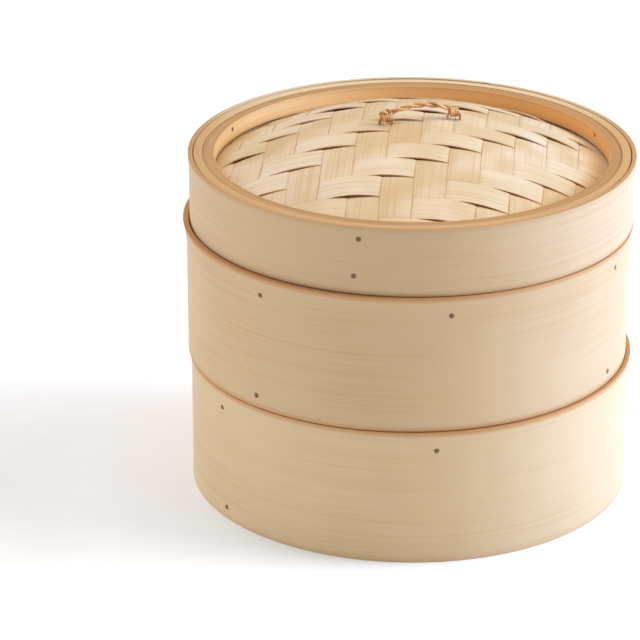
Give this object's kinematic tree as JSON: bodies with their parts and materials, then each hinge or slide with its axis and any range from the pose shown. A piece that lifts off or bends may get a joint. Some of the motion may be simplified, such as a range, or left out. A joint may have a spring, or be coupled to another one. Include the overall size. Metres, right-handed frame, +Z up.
{
  "type": "bamboo steamer basket",
  "caption": "Stacking round bamboo steamer basket with slatted floors, a domed lid woven from wide bamboo strips and a small rattan loop handle, for steaming food over a wok or pot.",
  "frame": {"origin": "middle of the ring that the lower tier stands on, at the table", "axes": "+Z up through the lid; the floor slats run along Y; -Y is the front, and the handle loop runs roughly along X"},
  "size_m": [0.2036, 0.203, 0.1786],
  "materials": {
    "band_bamboo": "planed bamboo strip, satin",
    "hoop_bamboo": "planed bamboo strip, golden, satin",
    "slat_bamboo": "split bamboo slat, matt",
    "woven_bamboo": "thin shaved bamboo strips, twill woven, satin",
    "lining_bamboo": "thin shaved bamboo strips, satin",
    "rattan": "twisted rattan, dry",
    "pin_bamboo": "dark bamboo end grain"
  },
  "bodies": {
    "lower_tier": {"lower_base_pin_01": "pin_bamboo", "lower_floor_ring": "hoop_bamboo", "lower_inner_hoop": "hoop_bamboo", "lower_outer_band": "band_bamboo", "lower_rail_back": "slat_bamboo", "lower_rail_front": "slat_bamboo", "lower_rim_pin_01": "pin_bamboo", "lower_rim_pin_02": "pin_bamboo", "lower_rim_pin_03": "pin_bamboo", "lower_rim_pin_04": "pin_bamboo", "lower_slat_01": "slat_bamboo", "lower_slat_02": "slat_bamboo", "lower_slat_03": "slat_bamboo", "lower_slat_04": "slat_bamboo", "lower_slat_05": "slat_bamboo", "lower_slat_06": "slat_bamboo", "lower_slat_07": "slat_bamboo", "lower_slat_08": "slat_bamboo", "lower_slat_09": "slat_bamboo", "lower_slat_10": "slat_bamboo"},
    "upper_tier": {"upper_base_pin_01": "pin_bamboo", "upper_base_pin_02": "pin_bamboo", "upper_floor_ring": "hoop_bamboo", "upper_inner_hoop": "hoop_bamboo", "upper_outer_band": "band_bamboo", "upper_rail_back": "slat_bamboo", "upper_rail_front": "slat_bamboo", "upper_rim_pin_01": "pin_bamboo", "upper_rim_pin_02": "pin_bamboo", "upper_rim_pin_03": "pin_bamboo", "upper_rim_pin_04": "pin_bamboo", "upper_slat_01": "slat_bamboo", "upper_slat_02": "slat_bamboo", "upper_slat_03": "slat_bamboo", "upper_slat_04": "slat_bamboo", "upper_slat_05": "slat_bamboo", "upper_slat_06": "slat_bamboo", "upper_slat_07": "slat_bamboo", "upper_slat_08": "slat_bamboo", "upper_slat_09": "slat_bamboo", "upper_slat_10": "slat_bamboo"},
    "lid": {"handle_tie_left": "rattan", "handle_tie_right": "rattan", "lid_base_pin_01": "pin_bamboo", "lid_base_pin_02": "pin_bamboo", "lid_inner_pin_01": "pin_bamboo", "lid_inner_pin_02": "pin_bamboo", "lid_lining": "lining_bamboo", "lid_middle_hoop": "hoop_bamboo", "lid_outer_band": "band_bamboo", "lid_retaining_hoop": "hoop_bamboo", "lid_rim_pin_01": "pin_bamboo", "lid_rim_pin_02": "pin_bamboo", "lid_support_ring": "hoop_bamboo", "lid_woven_top": "woven_bamboo"},
    "handle": {"handle_loop": "rattan"}
  },
  "joints": [
    {"name": "upper_tier_lift", "type": "slide", "parent": "lower_tier", "child": "upper_tier", "axis": [0, 0, 1], "range_m": [0, 0.1]},
    {"name": "lid_lift", "type": "slide", "parent": "upper_tier", "child": "lid", "axis": [0, 0, 1], "range_m": [0, 0.1]},
    {"name": "handle_tilt", "type": "hinge", "parent": "lid", "child": "handle", "pos_m": [0.0035, 0.0005, 0.17228], "axis": [0.9613, 0.2756, 0], "range_deg": [-40, 40]}
  ]
}
